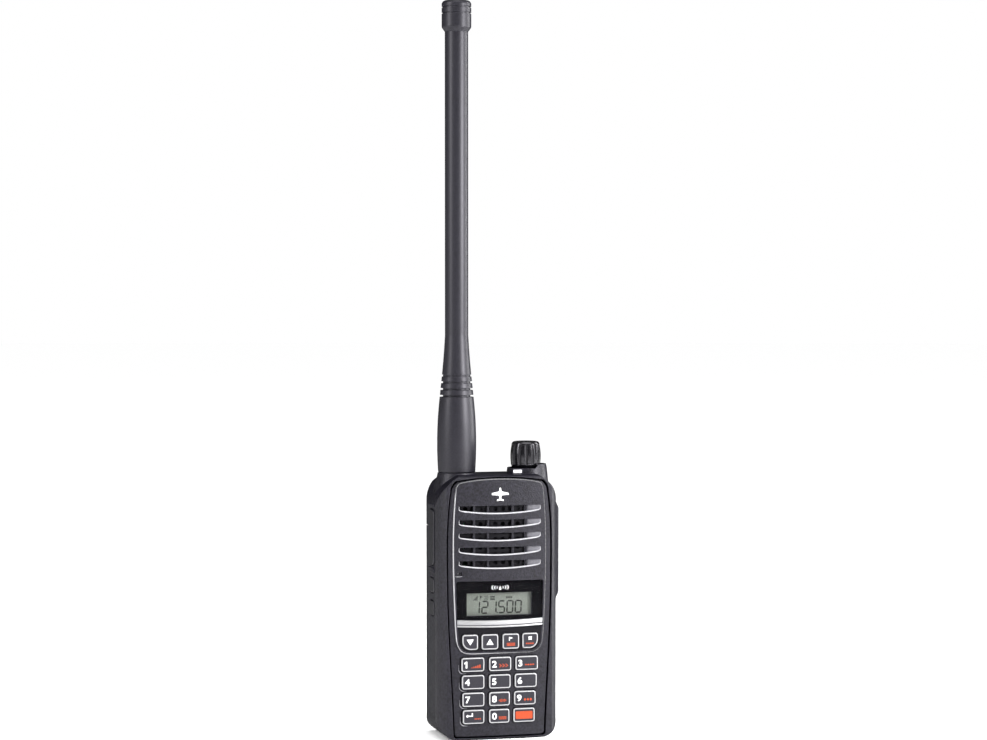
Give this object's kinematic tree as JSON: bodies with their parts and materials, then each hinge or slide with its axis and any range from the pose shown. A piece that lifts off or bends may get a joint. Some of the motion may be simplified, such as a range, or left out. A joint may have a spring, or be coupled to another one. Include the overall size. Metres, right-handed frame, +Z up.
{
  "type": "handheld aviation radio",
  "caption": "Handheld airband radio with a whip antenna, display, keypad, side talk switch, volume knob, swinging jack cover and latched battery pack.",
  "frame": {"origin": "centre of the base face that the radio stands on", "axes": "+Z up along the antenna, front with the keypad towards -Y, +X to the viewer's right"},
  "size_m": [0.0548, 0.0307, 0.3083],
  "materials": {
    "case": "matt, fine grain",
    "key": "satin, pale printed edge",
    "rubber": "semi-matt",
    "window": "glossy black",
    "bright_trim": "satin plated",
    "display": "grey-green",
    "moulding": "moulded",
    "board": "solder mask",
    "cast_metal": "cast, painted outside",
    "steel": "plain",
    "brass": "plated",
    "lens": "milky"
  },
  "bodies": {
    "radio": {"accessory_jacks": "moulding", "antenna_jack": "brass", "battery_terminals": "brass", "case_screws": "steel", "chassis": "cast_metal", "display_window": "window", "front_case": "case", "function_bezel": "window", "grille_mesh": "steel", "jack_contact": "brass", "jack_insulator": "moulding", "jack_nut": "brass", "key_domes": "steel", "keypad_board": "board", "keypad_mat": "rubber", "latch_spring": "steel", "lcd_frame": "moulding", "lcd_glass": "display", "main_board": "board", "main_gasket": "rubber", "microphone": "steel", "rear_case": "case", "side_switches": "moulding", "speaker_basket": "cast_metal", "speaker_cone": "moulding", "status_lens": "lens", "trim_strip": "bright_trim", "volume_control": "moulding"},
    "ptt": {"ptt_button": "rubber"},
    "upper_key": {"side_key_upper": "rubber"},
    "lower_key": {"side_key_lower": "rubber"},
    "key_0": {"key_0": "key"},
    "key_1": {"key_1": "key"},
    "key_2": {"key_2": "key"},
    "key_3": {"key_3": "key"},
    "key_4": {"key_4": "key"},
    "key_5": {"key_5": "key"},
    "key_6": {"key_6": "key"},
    "key_7": {"key_7": "key"},
    "key_8": {"key_8": "key"},
    "key_9": {"key_9": "key"},
    "key_clear": {"key_clear": "key"},
    "key_down": {"key_down": "key"},
    "key_enter": {"key_enter": "key"},
    "key_function": {"key_function": "key"},
    "key_memory": {"key_memory": "key"},
    "key_up": {"key_up": "key"},
    "volume": {"volume_knob": "case", "volume_shaft": "steel"},
    "antenna_lift": {"antenna_pin": "brass"},
    "antenna": {"antenna_sheath": "rubber", "antenna_cap": "rubber", "antenna_coil": "steel", "antenna_coupling": "brass"},
    "cover": {"jack_cover": "case"},
    "battery": {"battery_case": "case", "battery_lid": "case", "battery_cells": "cast_metal", "battery_contacts": "brass"},
    "latch": {"battery_latch": "moulding"}
  },
  "joints": [
    {"name": "key_0_press", "type": "slide", "parent": "radio", "child": "key_0", "axis": [0, 1, 0], "range_m": [0, 0.0006], "stiffness_N_per_m": 2500},
    {"name": "key_1_press", "type": "slide", "parent": "radio", "child": "key_1", "axis": [0, 1, 0], "range_m": [0, 0.0006], "stiffness_N_per_m": 2500},
    {"name": "key_2_press", "type": "slide", "parent": "radio", "child": "key_2", "axis": [0, 1, 0], "range_m": [0, 0.0006], "stiffness_N_per_m": 2500},
    {"name": "key_3_press", "type": "slide", "parent": "radio", "child": "key_3", "axis": [0, 1, 0], "range_m": [0, 0.0006], "stiffness_N_per_m": 2500},
    {"name": "key_4_press", "type": "slide", "parent": "radio", "child": "key_4", "axis": [0, 1, 0], "range_m": [0, 0.0006], "stiffness_N_per_m": 2500},
    {"name": "key_5_press", "type": "slide", "parent": "radio", "child": "key_5", "axis": [0, 1, 0], "range_m": [0, 0.0006], "stiffness_N_per_m": 2500},
    {"name": "key_6_press", "type": "slide", "parent": "radio", "child": "key_6", "axis": [0, 1, 0], "range_m": [0, 0.0006], "stiffness_N_per_m": 2500},
    {"name": "key_7_press", "type": "slide", "parent": "radio", "child": "key_7", "axis": [0, 1, 0], "range_m": [0, 0.0006], "stiffness_N_per_m": 2500},
    {"name": "key_8_press", "type": "slide", "parent": "radio", "child": "key_8", "axis": [0, 1, 0], "range_m": [0, 0.0006], "stiffness_N_per_m": 2500},
    {"name": "key_9_press", "type": "slide", "parent": "radio", "child": "key_9", "axis": [0, 1, 0], "range_m": [0, 0.0006], "stiffness_N_per_m": 2500},
    {"name": "key_clear_press", "type": "slide", "parent": "radio", "child": "key_clear", "axis": [0, 1, 0], "range_m": [0, 0.0006], "stiffness_N_per_m": 2500},
    {"name": "key_down_press", "type": "slide", "parent": "radio", "child": "key_down", "axis": [0, 1, 0], "range_m": [0, 0.0006], "stiffness_N_per_m": 2500},
    {"name": "key_enter_press", "type": "slide", "parent": "radio", "child": "key_enter", "axis": [0, 1, 0], "range_m": [0, 0.0006], "stiffness_N_per_m": 2500},
    {"name": "key_function_press", "type": "slide", "parent": "radio", "child": "key_function", "axis": [0, 1, 0], "range_m": [0, 0.0006], "stiffness_N_per_m": 2500},
    {"name": "key_memory_press", "type": "slide", "parent": "radio", "child": "key_memory", "axis": [0, 1, 0], "range_m": [0, 0.0006], "stiffness_N_per_m": 2500},
    {"name": "key_up_press", "type": "slide", "parent": "radio", "child": "key_up", "axis": [0, 1, 0], "range_m": [0, 0.0006], "stiffness_N_per_m": 2500},
    {"name": "ptt_press", "type": "slide", "parent": "radio", "child": "ptt", "axis": [1, 0, 0], "range_m": [0, 0.0012], "stiffness_N_per_m": 2500},
    {"name": "upper_key_press", "type": "slide", "parent": "radio", "child": "upper_key", "axis": [1, 0, 0], "range_m": [0, 0.0007], "stiffness_N_per_m": 3000},
    {"name": "lower_key_press", "type": "slide", "parent": "radio", "child": "lower_key", "axis": [1, 0, 0], "range_m": [0, 0.0007], "stiffness_N_per_m": 3000},
    {"name": "volume_turn", "type": "hinge", "parent": "radio", "child": "volume", "pos_m": [0.015, 0, 0.118], "axis": [0, 0, 1], "range_deg": [-280, 0]},
    {"name": "antenna_rise", "type": "slide", "parent": "radio", "child": "antenna_lift", "axis": [0, 0, 1], "range_m": [0, 0.002]},
    {"name": "antenna_turn", "type": "hinge", "parent": "antenna_lift", "child": "antenna", "pos_m": [-0.015, 0, 0.1175], "axis": [0, 0, 1], "range_deg": [0, 90]},
    {"name": "cover_swing", "type": "hinge", "parent": "radio", "child": "cover", "pos_m": [0.0273, 0.0043, 0.07775], "axis": [0, 0, 1], "range_deg": [0, 110]},
    {"name": "battery_swing", "type": "hinge", "parent": "radio", "child": "battery", "pos_m": [0, 0.0094, 0.09], "axis": [1, 0, 0], "range_deg": [0, 20], "deforming": ["latch_spring"]},
    {"name": "latch_slide", "type": "slide", "parent": "battery", "child": "latch", "axis": [0, 0, 1], "range_m": [0, 0.002], "stiffness_N_per_m": 600}
  ],
  "couplings": [
    {"joint": "antenna_turn", "follows": "antenna_rise", "rad_per_m": 785.4}
  ]
}
